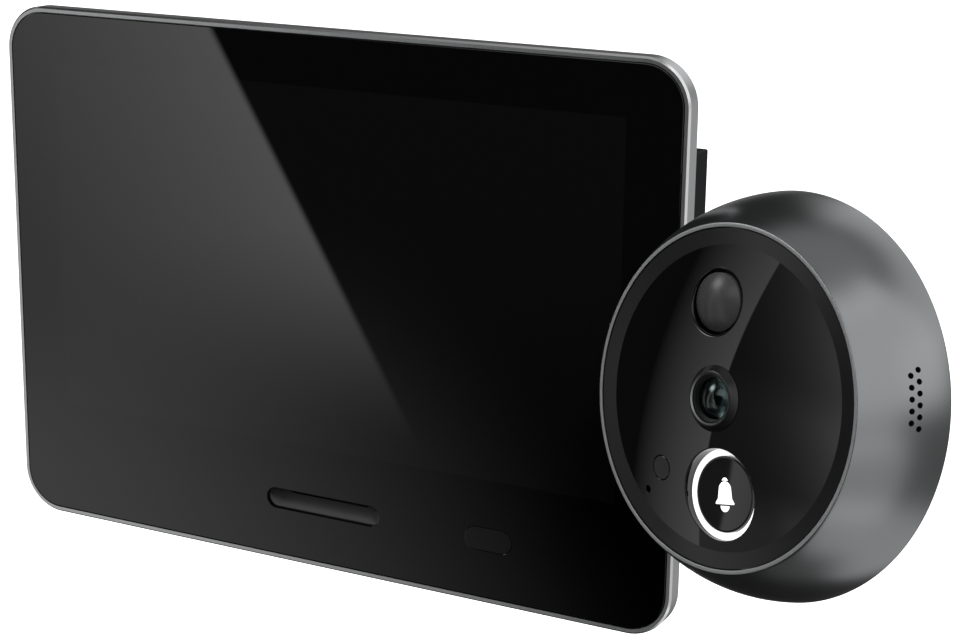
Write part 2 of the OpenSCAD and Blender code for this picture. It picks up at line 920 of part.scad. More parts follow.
module door_bracket() {
    punch_gap = 0.6;
    corner = 3;
    color(steel)
        place_monitor() {
            difference() {
                between(z_plate_front, z_door)
                    rounded_rect(bracket_w, bracket_h, corner);
                for (sx = [-1, 1])
                    translate([sx * bolt_pitch / 2, 0, 0])
                        round_between(z_plate_front + cut, z_door - cut, bolt_hole / 2);
                translate([-window_w / 2, window_rise, z_door - cut])
                    cube([window_w, window_h, bracket_t + 2 * cut]);
                hook_place()
                    translate([-hook_w / 2, -bracket_t - punch_gap - hook_rise, z_door - cut])
                        cube([hook_w, hook_rise + punch_gap, bracket_t + 2 * cut]);
            }
            hook_place() {
                translate([-hook_w / 2, -bracket_t, z_plate_front])
                    cube([hook_w, bracket_t, z_lip_front - z_plate_front]);
                translate([-hook_w / 2, -bracket_t, z_lip_back])
                    cube([hook_w, bracket_t + hook_rise, bracket_t]);
            }
        }
}

// Outdoor camera

module around_screws() {
    for (a = screw_angles)
        rotate([0, 0, a])
            translate([screw_circle_r, 0, 0])
                children();
}

module button_place() {
    translate([0, -button_drop, 0])
        children();
}

module pir_place() {
    translate([0, pir_rise, 0])
        children();
}

module insert_place() {
    for (sx = [-1, 1])
        translate([sx * bolt_pitch / 2, 0, 0])
            children();
}

// Holes that lead the speaker's sound out of the body's right side
module sound_holes() {
    for (c = [0, 1])
        for (i = [0 : sound_rows - 1 - c])
            translate([cavity_r - cut, (i - (sound_rows - 1 - c) / 2) * sound_pitch, sound_columns[c]])
                rotate([0, 90, 0])
                    cylinder(h = barrel_r - cavity_r + 2 * cut, d = sound_hole_d, $fn = 24);
}

module camera_housing() {
    color(gunmetal)
        place_camera()
            difference() {
                union() {
                    difference() {
                        rotate_extrude()
                            intersection() {
                                translate([barrel_r - bulge_r, -widest_depth])
                                    circle(r = bulge_r);
                                translate([0, z_rear])
                                    square([barrel_r, housing_depth]);
                            }
                        round_between(cut, z_face_back, face_bore_r);
                        round_between(cut, z_rear - cut, face_bore_r - ledge_w);
                        round_between(z_ledge_back, z_rear - cut, cavity_r);
                        round_between(z_gasket_in, z_rear - cut, rear_bore_r);
                    }
                    around_screws() {
                        round_between(z_ledge_back, z_camera_board, camera_post_r);
                        translate([0, -camera_post_r, z_camera_board])
                            cube([post_web, 2 * camera_post_r, z_ledge_back - z_camera_board]);
                    }
                }
                around_screws()
                    round_between(z_thread_end, z_camera_board - cut, screw_d / 2 + close_fit);
                sound_holes();
            }
}

module face_plate() {
    color(black_gloss)
        place_camera()
            difference() {
                union() {
                    rotate_extrude()
                        polygon([[0, z_face_back], [plate_r, z_face_back], [plate_r, ring_outer_edge],
                                 [disc_r, -disc_drop], [0, -disc_drop]]);
                    intersection() {
                        round_between(dome_top + cut, z_face_back, disc_r);
                        translate([0, 0, dome_top - dome_r])
                            sphere(r = dome_r, $fn = 200);
                    }
                }
                round_between(dome_top + cut, z_face_back - cut, bezel_neck_r + fit);
                pir_place()
                    round_between(dome_top + cut, z_face_back - cut, pir_d / 2);
                button_place()
                    round_between(dome_top + cut, z_face_back - cut, well_d / 2);
                translate(light_at)
                    round_between(dome_top + cut, z_face_back - cut, light_d / 2);
                translate(mic_at)
                    round_between(dome_top + cut, z_face_back - cut, mic_hole_d / 2);
            }
}

module pir_lens() {
    cap_r = (pir_lens_r * pir_lens_r + pir_dome_h * pir_dome_h) / (2 * pir_dome_h);
    color(soft_black)
        place_camera()
            pir_place() {
                intersection() {
                    round_between(pir_top + cut, z_face_back, pir_lens_r);
                    translate([0, 0, pir_top - cap_r])
                        sphere(r = cap_r);
                }
                round_between(pir_top - pir_dome_h, z_face_back, pir_lens_r);
                round_between(z_face_back, z_flange_back, pir_d / 2 + flange_t);
            }
}

module pir_sensor() {
    sight_w = 3;
    sight_h = 2.4;
    window_sink = 0.3;
    color(steel)
        place_camera()
            pir_place()
                difference() {
                    round_between(z_flange_back - run_gap, z_camera_board, pir_can_r);
                    between(z_flange_back, z_flange_back - run_gap - window_sink)
                        square([sight_w, sight_h], center = true);
                }
}

module lens_bezel() {
    color(black_gloss)
        place_camera()
            difference() {
                union() {
                    translate([0, 0, dome_top])
                        cylinder(h = bezel_h, d1 = bezel_d, d2 = bezel_top_d);
                    round_between(dome_top, z_face_back, bezel_neck_r);
                }
                round_between(dome_top + bezel_h + cut, z_face_back - cut, lens_r + close_fit);
            }
}

module lens_barrel() {
    color(soft_black)
        place_camera()
            difference() {
                round_between(lens_top, z_barrel_back, lens_r);
                for (step = mouth_steps)
                    round_between(lens_top + cut, lens_top - step[1], lens_r - step[0]);
                round_between(lens_top, z_barrel_back - cut, front_glass_r + close_fit);
            }
}

module lens_front_glass() {
    bulge_r = (pow(front_glass_r, 2) + pow(front_glass_bulge, 2)) / (2 * front_glass_bulge);
    z_back = front_glass_top - front_glass_t;
    color(lens_tint)
        place_camera() {
            intersection() {
                round_between(front_glass_top, z_back, front_glass_r);
                translate([0, 0, front_glass_top - bulge_r])
                    sphere(r = bulge_r);
            }
            round_between(front_glass_top - front_glass_bulge, z_back, front_glass_r);
        }
}

module lens_rear_glass() {
    z_front = front_glass_top - front_glass_t - glass_spacing;
    color(lens_tint)
        place_camera()
            round_between(z_front, z_front - rear_glass_t, front_glass_r);
}

module lens_holder() {
    color(soft_black)
        place_camera()
            difference() {
                union() {
                    round_between(z_face_back - run_gap, z_camera_board, holder_r);
                    between(z_camera_board + holder_base_t, z_camera_board)
                        square([holder_w, holder_w], center = true);
                }
                round_between(0, z_camera_board + holder_base_t, lens_r + close_fit);
                between(z_camera_board + holder_base_t + cut, z_camera_board - cut)
                    square([sensor_w + 2 * sensor_gap, sensor_h + 2 * sensor_gap], center = true);
            }
}

module image_sensor() {
    color(lens_tint)
        place_camera()
            between(z_camera_board + sensor_t, z_camera_board)
                square([sensor_w, sensor_h], center = true);
}

module camera_board() {
    color(board_green)
        place_camera()
            difference() {
                round_between(z_camera_board, z_camera_board_back, camera_board_r);
                around_screws()
                    round_between(z_camera_board + cut, z_camera_board_back - cut, screw_d / 2 + screw_pass);
            }
}

// Outlines of the bell sign: the bell, the knob above it and the clapper below it
module bell_body() {
    translate([0, crown_y])
        circle(r = crown_r);
    polygon([[-shoulder_w, shoulder_y], [shoulder_w, shoulder_y], [waist_w, waist_y],
             [lip_w, lip_y + lip_t], [lip_w, lip_y], [-lip_w, lip_y],
             [-lip_w, lip_y + lip_t], [-waist_w, waist_y]]);
}

module bell_knob() {
    intersection() {
        translate([0, knob_y])
            circle(r = knob_r);
        translate([-crown_r, crown_y + crown_r + sign_gap / 2])
            square(2 * crown_r);
    }
}

module bell_clapper() {
    clapper_y = lip_y - sign_gap;
    intersection() {
        translate([0, clapper_y])
            circle(r = clapper_r);
        translate([-crown_r, clapper_y - 2 * crown_r])
            square(2 * crown_r);
    }
}

module bell_sign(z_front, z_back) {
    between(z_front, z_back)
        bell_body();
    between(z_front, z_back)
        bell_knob();
    between(z_front, z_back)
        bell_clapper();
}

module button_cap() {
    color(black_gloss)
        place_camera()
            button_place()
                difference() {
                    union() {
                        round_between(z_cap_top, z_flange_back, cap_r);
                        round_between(z_flange_back, z_cap_flange_back, cap_flange_r);
                        round_between(z_cap_flange_back, z_cap_post_end, cap_post_r);
                    }
                    bell_sign(z_cap_top + cut, z_cap_top - symbol_t);
                }
}

module bell_symbol() {
    color(lit_white)
        place_camera()
            button_place()
                bell_sign(z_cap_top, z_cap_top - symbol_t);
}

module button_light_ring() {
    color(lit_white)
        place_camera()
            button_place()
                difference() {
                    union() {
                        round_between(z_ring_top, z_face_back, ring_r);
                        round_between(z_face_back, z_flange_back, ring_flange_r);
                    }
                    round_between(z_ring_top + cut, z_flange_back - cut, ring_inner_r);
                }
}

module bell_switch() {
    switch_w = 6.2;
    color(steel)
        place_camera()
            button_place()
                difference() {
                    between(z_switch_top, z_camera_board)
                        square(switch_w, center = true);
                    round_between(z_switch_top + cut, z_camera_board - cut, plunger_r + plunger_play);
                }
}

module switch_plunger() {
    end_gap = 0.1;
    color(soft_black)
        place_camera()
            button_place()
                round_between(z_cap_post_end, z_camera_board + button_travel + end_gap, plunger_r);
}

module ring_leds() {
    led_circle_r = (ring_inner_r + ring_flange_r) / 2;
    led_w = 0.8;
    led_l = 1.6;
    color(lit_white)
        place_camera()
            button_place()
                for (a = [45 : 90 : 315])
                    rotate([0, 0, a])
                        translate([led_circle_r, 0, 0])
                            between(z_camera_board + led_t, z_camera_board)
                                square([led_w, led_l], center = true);
}

module light_window() {
    color(smoked)
        place_camera()
            translate(light_at) {
                round_between(dome_z(norm(light_at) + light_d / 2), z_face_back, light_d / 2 - fit / 2);
                round_between(z_face_back, z_flange_back, light_d / 2 + flange_t);
            }
}

module light_sensor() {
    chip_w = 2;
    chip_h = 1.3;
    color(ivory)
        place_camera()
            translate(light_at)
                between(z_camera_board + led_t, z_camera_board)
                    square([chip_w, chip_h], center = true);
}

module outdoor_microphone() {
    can_w = 3;
    can_h = 2.6;
    color(steel)
        place_camera()
            translate(mic_at)
                between(z_camera_board + mic_t, z_camera_board)
                    square([can_w, can_h], center = true);
}

module microphone_boot() {
    color(soft_black)
        place_camera()
            translate(mic_at)
                difference() {
                    round_between(z_face_back, z_camera_board + mic_t, mic_boot_r);
                    round_between(z_face_back + cut, z_camera_board + mic_t - cut, mic_hole_d / 2);
                }
}

module outdoor_speaker() {
    port_side = 2;
    port_w = speaker_box_h - 2 * port_side;
    port_h = 2;
    port_depth = 0.8;
    z_back = z_camera_board;
    z_front = z_ledge_back - run_gap;
    color(soft_black)
        place_camera()
            difference() {
                translate([speaker_box_face - speaker_box_depth, -speaker_box_h / 2, z_back])
                    cube([speaker_box_depth, speaker_box_h, z_front - z_back]);
                translate([speaker_box_face - port_depth, -port_w / 2, (z_front + z_back - port_h) / 2])
                    cube([port_depth + cut, port_w, port_h]);
            }
}

module speaker_mesh() {
    mesh_w = 9.4;
    mesh_r = cavity_r - close_fit;
    color(soft_black)
        place_camera()
            intersection() {
                difference() {
                    round_between(z_ledge_back - run_gap, z_camera_board, mesh_r);
                    round_between(z_ledge_back + cut, z_camera_board - cut, mesh_r - mesh_t);
                }
                translate([cavity_r / 2, -mesh_w / 2, z_camera_board])
                    cube([cavity_r, mesh_w, -z_camera_board]);
            }
}

module rear_plate() {
    post_flare = 0.4;
    color(dark_plastic)
        place_camera()
            difference() {
                union() {
                    round_between(z_plate_in, z_rear, rear_plate_r);
                    around_screws()
                        round_between(z_camera_board_back, z_plate_in, camera_post_r + post_flare);
                    insert_place()
                        round_between(z_plate_in - cut, z_post_end, insert_post_r);
                }
                around_screws() {
                    round_between(z_camera_board_back + cut, z_rear - cut, screw_d / 2 + screw_pass);
                    round_between(z_rear + screw_head_t, z_rear - cut, screw_head_d / 2 + screw_pass);
                }
                insert_place()
                    round_between(z_rear + insert_sink, z_post_end - cut, insert_r);
                translate([0, grommet_y, 0])
                    between(z_plate_in + cut, z_rear - cut)
                        stadium(grommet_w + 2 * fit, grommet_h + 2 * fit);
            }
}

module rear_gasket() {
    color(soft_black)
        place_camera()
            difference() {
                round_between(z_gasket_in, z_plate_in, rear_plate_r);
                round_between(z_gasket_in + cut, z_plate_in - cut, cavity_r + fit);
            }
}

module rear_screws() {
    color(steel)
        place_camera()
            around_screws()
                screw(z_rear + screw_head_t, z_thread_end - run_gap, screw_d, screw_head_d, screw_head_t);
}

module threaded_inserts() {
    color(brass)
        place_camera()
            insert_place()
                difference() {
                    round_between(z_rear + insert_sink, z_post_end, insert_r);
                    round_between(z_rear + insert_sink - insert_end_t, z_post_end - cut, insert_hole_d / 2);
                }
}

module cable_grommet() {
    color(soft_black)
        place_camera()
            translate([0, grommet_y, 0])
                difference() {
                    union() {
                        between(z_plate_in, z_rear)
                            stadium(grommet_w, grommet_h);
                        between(z_rear, z_rear - grommet_lip_t)
                            stadium(grommet_w + 2 * grommet_lip, grommet_h + 2 * grommet_lip);
                    }
                    between(z_plate_in + cut, z_rear - grommet_lip_t - cut)
                        stadium(grommet_slit_w, grommet_slit_h);
                }
}

module adhesive_pad() {
    edge_inset = 1;
    color(soft_black)
        place_camera()
            difference() {
                round_between(z_rear, z_rear - pad_t, rear_plate_r - edge_inset);
                round_between(z_rear + cut, z_rear - pad_t - cut, pad_inner_d / 2);
            }
}

front_glass();
display_gasket();
speaker_trough();
indicator_window();
front_frame();
lcd_module();
display_ribbon();
rear_shell();
main_board();
processor_shield();
board_screws();
battery_pack();
indoor_speaker();
indoor_microphone();
indicator_led();
power_button();
power_switch();
charge_socket();
ribbon_socket();
case_screws();
door_bracket();
camera_housing();
face_plate();
pir_lens();
pir_sensor();
lens_bezel();
lens_barrel();
lens_front_glass();
lens_rear_glass();
lens_holder();
image_sensor();
camera_board();
button_cap();
bell_symbol();
button_light_ring();
bell_switch();
switch_plunger();
ring_leds();
light_window();
light_sensor();
outdoor_microphone();
microphone_boot();
outdoor_speaker();
speaker_mesh();
rear_plate();
rear_gasket();
rear_screws();
threaded_inserts();
cable_grommet();
adhesive_pad();
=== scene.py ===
"""Looks of a peephole door camera: an indoor monitor and a round outdoor camera."""
import json
import math

import bmesh
import bpy
from mathutils import Matrix, Vector


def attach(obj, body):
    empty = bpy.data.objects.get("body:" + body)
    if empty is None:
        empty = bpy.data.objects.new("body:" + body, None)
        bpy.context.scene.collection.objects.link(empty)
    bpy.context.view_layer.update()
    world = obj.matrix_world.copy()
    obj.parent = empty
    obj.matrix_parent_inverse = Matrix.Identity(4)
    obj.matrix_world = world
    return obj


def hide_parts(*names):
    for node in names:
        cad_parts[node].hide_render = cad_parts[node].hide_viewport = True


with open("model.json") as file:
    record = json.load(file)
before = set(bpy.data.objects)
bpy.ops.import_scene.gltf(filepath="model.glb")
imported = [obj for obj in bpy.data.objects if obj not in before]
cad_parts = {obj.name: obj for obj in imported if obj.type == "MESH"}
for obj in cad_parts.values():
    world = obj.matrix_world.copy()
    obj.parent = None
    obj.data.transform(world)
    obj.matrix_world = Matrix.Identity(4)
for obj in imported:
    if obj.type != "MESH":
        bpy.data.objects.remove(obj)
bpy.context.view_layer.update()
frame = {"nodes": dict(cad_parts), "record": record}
nodes = frame["nodes"]
record = frame["record"]
body_of = {node: body for body, held in record["behaviour"]["bodies"].items() for node in held}
slot_of = {part["node"]: part["material_slot"] for part in record["subparts"]}
scene = bpy.context.scene

# Sizes in millimetres, as the solids have them. Both units are drawn face up, with height 0 at the
# monitor's cover glass and at the outdoor camera's rim.
MM = 0.001  # in metres
MONITOR_DEPTH = 22.2
PANEL_W, PANEL_H = 113.0, 81.0
FRAME_FRONT, FRAME_BACK = -0.05, -2.9
SCREEN_W, SCREEN_H, SCREEN_RISE = 95.0, 53.9, 5.3
PILL_X, PILL_ZONE = 28.0, 6.0
CAMERA_PLACE = (72.2, -48.0, 4.2)
CAMERA_YAW, CAMERA_PITCH, CAMERA_ROLL = 23.16, 8.91, 12.9
RIM_R, RIM_W = 21.0, 0.5
BODY_DEPTH, BODY_R, WIDEST_DEPTH = 11.5, 25.4, 13.5
FACE_BACK, LEDGE_BACK, GASKET_SEAT = -2.6, -4.0, -9.5
LEDGE_R, CAVITY_R, REAR_BORE_R = 19.0, 21.6, 22.8
PLATE_R, DISC_R, DISC_DROP, RING_EDGE = 20.35, 18.4, 0.45, -0.12
DOME_H = 1.62
PIR_RISE, PIR_HOLE_R, PIR_R, PIR_DOME_H, PIR_STAND = 11.5, 3.95, 3.55, 1.1, 0.8
WELL_DROP, WELL_R, RING_R, RING_INNER_R, RING_DROP = 11.5, 5.55, 5.5, 4.8, 1.2
CAP_R, CAP_STAND, CAP_DISH_R, STEM_R, STEM_BACK = 4.6, 0.1, 108.0, 1.8, -5.5
FLANGE_BACK, FLANGE_T, PIR_FLANGE_W, RING_FLANGE_W = -3.4, 0.8, 0.8, 0.9
BEZEL_R, BEZEL_TOP_R, BEZEL_H, NECK_R, NECK_GAP = 4.0, 3.3, 0.7, 3.6, 0.15
LENS_R, LENS_GAP, BARREL_DROP, BARREL_BORE_R, BARREL_BACK = 2.9, 0.05, 0.25, 2.15, -5.6
LIGHT_AT, LIGHT_R = (-9.69, -8.60), 1.55
MIC_AT, MIC_R = (-12.61, -11.39), 0.45
SOUND_PITCH, SOUND_R, SOUND_COLUMNS = 1.34, 0.35, ((6, -6.8), (5, -5.8))


def ball_radius(r, rise):
    """Radius of the ball whose cap has this radius and rise."""
    return (r ** 2 + rise ** 2) / (2 * rise)


def cap_z(r, top, ball):
    """Height of a ball's cap at a radius."""
    return top - ball + math.sqrt(ball ** 2 - r ** 2)


DOME_TOP = DOME_H - DISC_DROP
DOME_R = ball_radius(DISC_R, DOME_H)


def dome_z(r):
    """Height of the outdoor camera's face at a radius."""
    return cap_z(r, DOME_TOP, DOME_R)


RING_TOP = dome_z(WELL_DROP) - RING_DROP
CAP_TOP = RING_TOP + CAP_STAND


def turn(degrees, axis):
    return Matrix.Rotation(math.radians(degrees), 4, axis)


# How a drawing of each unit stands in the frame
UPRIGHT = turn(90, "X")
MONITOR = Matrix.Scale(MM, 4) @ Matrix.Translation((0, -MONITOR_DEPTH, 0)) @ UPRIGHT
CAMERA = (Matrix.Scale(MM, 4) @ Matrix.Translation(CAMERA_PLACE) @ turn(-CAMERA_YAW, "Z")
          @ turn(-CAMERA_PITCH, "X") @ turn(-CAMERA_ROLL, "Y") @ UPRIGHT)


def link(name, data):
    """A new object in the scene."""
    made = bpy.data.objects.new(name, data)
    scene.collection.objects.link(made)
    return made


# Photograph's camera

VIEW_LENS, VIEW_SENSOR = 79.11, 36
VIEW_PLACE = (0.15857, -0.27526, 0.07709)
VIEW_AZIMUTH, VIEW_ELEVATION, VIEW_ROLL = 27.621, 14.818, 0.874


def make_view():
    data = bpy.data.cameras.new("photo_view")
    data.lens, data.sensor_width = VIEW_LENS, VIEW_SENSOR
    data.clip_start, data.clip_end = 0.01, 20
    azimuth, elevation = math.radians(VIEW_AZIMUTH), math.radians(VIEW_ELEVATION)
    level = math.cos(elevation)
    back = Vector((math.sin(azimuth) * level, -math.cos(azimuth) * level, math.sin(elevation)))
    right = Vector((math.cos(azimuth), math.sin(azimuth), 0))
    facing = Matrix((right, back.cross(right), back)).transposed().to_4x4()
    view = link("photo_view", data)
    view.matrix_world = Matrix.Translation(VIEW_PLACE) @ facing @ turn(VIEW_ROLL, "Z")
    scene.camera = view


make_view()
scene.view_settings.view_transform = "Standard"


# Shader helpers

def add(tree, kind, links=(), **settings):
    """A node with its settings. Its inputs, by name or number, are values or other sockets."""
    made = tree.nodes.new(kind)
    for name, value in settings.items():
        setattr(made, name, value)
    for key, value in dict(links).items():
        if isinstance(value, bpy.types.NodeSocket):
            tree.links.new(value, made.inputs[key])
        else:
            made.inputs[key].default_value = value
    return made


def calc(tree, operation, *values):
    return add(tree, "ShaderNodeMath", dict(enumerate(values)), operation=operation).outputs[0]


def mix(tree, first, second, share):
    return add(tree, "ShaderNodeMix", {0: share, 2: first, 3: second}).outputs[0]


def ramp(tree, value, low, high, start=0.0, end=1.0, shape="SMOOTHSTEP"):
    links = {"Value": value, "From Min": low, "From Max": high, "To Min": start, "To Max": end}
    return add(tree, "ShaderNodeMapRange", links, interpolation_type=shape).outputs["Result"]


def along(tree, direction, axis):
    """How far a direction points along an axis, from -1 to 1."""
    links = {0: direction, 1: tuple(Vector(axis).normalized())}
    return add(tree, "ShaderNodeVectorMath", links, operation="DOT_PRODUCT").outputs["Value"]


def noise(tree, where, scale, detail):
    links = {"Vector": where, "Scale": scale, "Detail": detail}
    return add(tree, "ShaderNodeTexNoise", links).outputs["Fac"]


def new_group(name, inputs, outputs):
    group = bpy.data.node_groups.new(name, "ShaderNodeTree")
    for way, sockets in (("INPUT", inputs), ("OUTPUT", outputs)):
        for label, kind in sockets:
            group.interface.new_socket(name=label, in_out=way, socket_type="NodeSocket" + kind)
    given = group.nodes.new("NodeGroupInput").outputs
    result = group.nodes.new("NodeGroupOutput").inputs
    return group, given, result


# Finishes

GRAIN_DETAIL, DRIFT_DETAIL = 3.0, 2.0
GRAIN_DEPTH = 0.00002  # metres


def make_grain():
    """Fine grain with slow drifts of colour and roughness, shared by all finishes."""
    group, given, result = new_group(
        "surface_grain",
        (("Colour", "Color"), ("Roughness", "Float"), ("Grain", "Float"), ("Drift", "Float"),
         ("Tint", "Float"), ("Spread", "Float")),
        (("Colour", "Color"), ("Roughness", "Float"), ("Height", "Float")))
    where = group.nodes.new("ShaderNodeTexCoord").outputs["Object"]
    fine = noise(group, where, given["Grain"], GRAIN_DETAIL)
    slow = noise(group, where, given["Drift"], DRIFT_DETAIL)
    both = calc(group, "SUBTRACT", calc(group, "ADD", fine, slow), 1.0)
    level = calc(group, "MULTIPLY_ADD", given["Tint"], both, 1.0)
    links = {0: given["Colour"], "Scale": level}
    tinted = add(group, "ShaderNodeVectorMath", links, operation="SCALE").outputs[0]
    rough = calc(group, "MULTIPLY_ADD", given["Spread"], both, given["Roughness"])
    group.links.new(tinted, result["Colour"])
    group.links.new(rough, result["Roughness"])
    group.links.new(fine, result["Height"])
    return group


GRAIN = make_grain()


def finish(name, colour, roughness, grain=6000.0, drift=150.0, tint=0.15, spread=0.06, bump=0.1,
           **constants):
    """A material with grain, whose constant values sit on the shader itself."""
    material = bpy.data.materials.new(name)
    material.use_nodes = True
    tree = material.node_tree
    shader = tree.nodes["Principled BSDF"]
    surface = add(tree, "ShaderNodeGroup", node_tree=GRAIN)
    given = {"Colour": (*colour, 1), "Roughness": roughness, "Grain": grain, "Drift": drift,
             "Tint": tint, "Spread": spread}
    for key, value in given.items():
        surface.inputs[key].default_value = value
    tree.links.new(surface.outputs["Colour"], shader.inputs["Base Color"])
    tree.links.new(surface.outputs["Roughness"], shader.inputs["Roughness"])
    if bump:
        links = {"Height": surface.outputs["Height"], "Strength": bump, "Distance": GRAIN_DEPTH}
        raised = add(tree, "ShaderNodeBump", links)
        tree.links.new(raised.outputs["Normal"], shader.inputs["Normal"])
    for key, value in constants.items():
        shader.inputs[key.replace("_", " ")].default_value = value
    return material


SCREEN_COLOUR = (0.0028, 0.0028, 0.0029, 1)
SCREEN_SOFT = 0.1  # half the width of the screen's soft outline, in millimetres


def make_cover_glass():
    """Black glass over the screen, with the faintly lighter active area behind it."""
    material = finish("cover_glass_black", (0.0011, 0.0011, 0.0012), 0.008, spread=0.004, bump=0)
    tree = material.node_tree
    shader = tree.nodes["Principled BSDF"]
    where = tree.nodes.new("ShaderNodeTexCoord").outputs["Object"]
    place = add(tree, "ShaderNodeSeparateXYZ", {0: where}).outputs

    def within(distance, half):
        away = calc(tree, "ABSOLUTE", distance)
        return ramp(tree, away, (half + SCREEN_SOFT) * MM, (half - SCREEN_SOFT) * MM)

    rise = calc(tree, "SUBTRACT", place["Z"], SCREEN_RISE * MM)
    screen = calc(tree, "MULTIPLY", within(place["X"], SCREEN_W / 2), within(rise, SCREEN_H / 2))
    plain = shader.inputs["Base Color"].links[0].from_socket
    links = {0: screen, 6: plain, 7: SCREEN_COLOUR}
    shown = add(tree, "ShaderNodeMix", links, data_type="RGBA").outputs[2]
    tree.links.new(shown, shader.inputs["Base Color"])
    return material


cover_glass = make_cover_glass()
face_gloss = finish("face_gloss_black", (0.0012, 0.0012, 0.0013), 0.008, spread=0.004, bump=0)
ring_satin = finish("dished_ring_satin", (0.003, 0.003, 0.0032), 0.2)
trim_gloss = finish("trim_gloss_black", (0.003, 0.003, 0.0033), 0.14)
cap_gloss = finish("cap_gloss_black", (0.003, 0.003, 0.0033), 0.04, spread=0.02, bump=0)
trough_satin = finish("trough_satin", (0.05, 0.05, 0.052), 0.5, Specular_IOR_Level=0.1)
bezel_satin = finish("bezel_satin", (0.006, 0.006, 0.0063), 0.26)
window_smoked = finish("window_smoked", (0.004, 0.004, 0.0044), 0.06, bump=0)
frame_satin = finish("frame_satin", (0.56, 0.57, 0.58), 0.30, grain=9000.0, Metallic=1.0)
frame_polish = finish("frame_polish", (0.82, 0.82, 0.83), 0.14, bump=0.02, Metallic=1.0)
rim_satin = finish("rim_satin", (0.40, 0.41, 0.415), 0.45, grain=9000.0, Metallic=1.0)
camera_satin = finish("camera_satin", (0.30, 0.31, 0.315), 0.26, grain=9000.0, tint=0.06,
                      spread=0.02, bump=0.04, Metallic=1.0)
case_plastic = finish("case_plastic", (0.006, 0.006, 0.0063), 0.55, grain=5000.0, bump=0.3,
                      Specular_IOR_Level=0.1)
sensor_satin = finish("sensor_satin", (0.036, 0.036, 0.036), 0.27, spread=0.03, bump=0.02,
                      Specular_IOR_Level=0.3)
lens_black = finish("lens_black", (0.003, 0.0033, 0.0033), 0.42, Specular_IOR_Level=0.3)
lens_ring = finish("lens_ring_metal", (0.32, 0.325, 0.33), 0.42, Metallic=1.0)
rubber = finish("rubber", (0.02, 0.02, 0.02), 0.75, bump=0.3)
foam = finish("pad_foam", (0.025, 0.025, 0.026), 0.85, grain=2500.0, bump=0.6)
inner_plastic = finish("inner_plastic", (0.03, 0.03, 0.03), 0.55)
ivory = finish("ivory_plastic", (0.70, 0.68, 0.60), 0.5)
display = finish("display", (0.012, 0.012, 0.015), 0.25)
board_green = finish("board_green", (0.02, 0.12, 0.06), 0.4)
ribbon_amber = finish("ribbon_amber", (0.45, 0.24, 0.05), 0.4)
chip = finish("chip", (0.03, 0.033, 0.036), 0.5)
battery_wrap = finish("battery_wrap", (0.06, 0.065, 0.085), 0.45)
steel = finish("steel", (0.58, 0.59, 0.60), 0.3, Metallic=1.0)
brass = finish("brass", (0.70, 0.50, 0.20), 0.3, Metallic=1.0)
lit_white = finish("lit_white", (0.8, 0.8, 0.8), 0.5, Emission_Color=(1, 1, 1, 1),
                   Emission_Strength=1.0)
lens_glass = finish("lens_glass", (0.012, 0.02, 0.019), 0.06, spread=0.01, bump=0,
                    Transmission_Weight=1.0, IOR=1.6, Specular_Tint=(0.8, 1.0, 0.95, 1))

FINISHES = {
    "cover_glass": cover_glass, "frame_metal": frame_satin, "case_plastic": case_plastic,
    "camera_metal": camera_satin, "gloss_trim": trim_gloss, "sensor_plastic": sensor_satin,
    "lens_black": lens_black, "lens_glass": lens_glass, "lit_white": lit_white,
    "soft_black": rubber, "inner_plastic": inner_plastic, "socket_plastic": ivory,
    "display": display, "board": board_green, "ribbon": ribbon_amber, "chip": chip,
    "battery_wrap": battery_wrap, "steel": steel, "brass": brass,
}
for node, solid in nodes.items():
    solid.data.materials.clear()
    solid.data.materials.append(FINISHES[slot_of[node]])


# Drawing helpers, in millimetres

MERGE = 0.0005  # points closer than this are one
ON_LEVEL = 0.01  # how near to a level a point of a solid lies on it
ON_CIRCLE = 0.02  # how near to a circle a spun point lies on it
CUT_PAST = 1.0  # how far a cutter reaches past what it cuts


def mend(bm):
    """Merges doubled points and turns the faces outward."""
    bmesh.ops.remove_doubles(bm, verts=bm.verts, dist=MERGE)
    bmesh.ops.recalc_face_normals(bm, faces=bm.faces)


def make_piece(node, bm, place, finishes, sharp=30):
    """Stands a drawn mesh in the frame as the finished piece for a solid."""
    mend(bm)
    bm.transform(place)
    mesh = bpy.data.meshes.new(node + "_finished")
    bm.to_mesh(mesh)
    bm.free()
    mesh.shade_smooth()
    mesh.set_sharp_from_angle(angle=math.radians(sharp))
    for material in finishes:
        mesh.materials.append(material)
    piece = link(node + "_finished", mesh)
    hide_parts(node)
    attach(piece, body_of[node])
    return piece


def copy_of(node, place):
    """The solid's own mesh, merged, with its flat faces whole again."""
    bm = bmesh.new()
    bm.from_mesh(nodes[node].data)
    bm.transform(place.inverted())
    bmesh.ops.remove_doubles(bm, verts=bm.verts, dist=MERGE)
    bmesh.ops.dissolve_limit(bm, angle_limit=math.radians(0.5), verts=bm.verts, edges=bm.edges)
    return bm


def sharp_edges(bm):
    least = math.radians(40)
    return [e for e in bm.edges if len(e.link_faces) == 2 and e.calc_face_angle(0) > least]


def round_off(bm, edges, width, segments=2):
    return bmesh.ops.bevel(bm, geom=edges, offset=width, offset_type="OFFSET", segments=segments,
                           profile=0.5, affect="EDGES", material=-1, clamp_overlap=True)["faces"]


def soften(node, place, width, material, sharp=50):
    """A piece like its solid, with its edges rounded and its flat faces evenly shaded."""
    bm = copy_of(node, place)
    round_off(bm, sharp_edges(bm), width)
    piece = make_piece(node, bm, place, [material], sharp)
    even = piece.modifiers.new("even_normals", "WEIGHTED_NORMAL")
    even.keep_sharp = True


